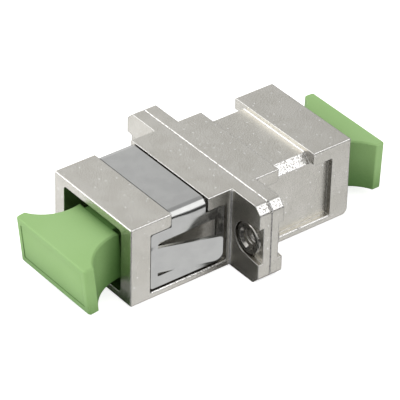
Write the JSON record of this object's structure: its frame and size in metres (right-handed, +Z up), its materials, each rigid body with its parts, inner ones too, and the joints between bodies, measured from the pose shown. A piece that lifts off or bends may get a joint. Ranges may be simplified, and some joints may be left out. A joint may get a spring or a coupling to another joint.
{
  "type": "fibre optic adapter",
  "caption": "Metal simplex push-pull fibre optic adapter with a split flange, spring panel clip, latch inserts, ceramic sleeve and green dust plugs.",
  "frame": {"origin": "on the optical axis, in the seam between the two housing halves, in the middle of the alignment sleeve", "axes": "+X runs along the optical axis from the half with the panel clip to the bare half, +Y runs across the flange to the left seen from the clip end, +Z is up, with the keyways in the lower walls"},
  "size_m": [0.0388, 0.022, 0.0092],
  "materials": {
    "nickel_zinc": "satin nickel plating over a fine cast grain",
    "spring_steel": "smooth, faintly brushed",
    "rivet_metal": "nickel-plated, turned",
    "insert_plastic": "moulded, matt",
    "zirconia": "polished ceramic",
    "green_plastic": "moulded, soft satin"
  },
  "bodies": {
    "adapter": {"front_housing": "nickel_zinc", "rear_housing": "nickel_zinc", "panel_clip": "spring_steel", "left_rivet": "rivet_metal", "right_rivet": "rivet_metal", "front_latch_insert": "insert_plastic", "rear_latch_insert": "insert_plastic", "split_sleeve": "zirconia"},
    "front_plug": {"front_dust_plug": "green_plastic"},
    "rear_plug": {"rear_dust_plug": "green_plastic"}
  },
  "joints": [
    {"name": "front_plug_pull", "type": "slide", "parent": "adapter", "child": "front_plug", "axis": [-1, 0, 0], "range_m": [0, 0.015]},
    {"name": "rear_plug_pull", "type": "slide", "parent": "adapter", "child": "rear_plug", "axis": [1, 0, 0], "range_m": [0, 0.015]}
  ]
}
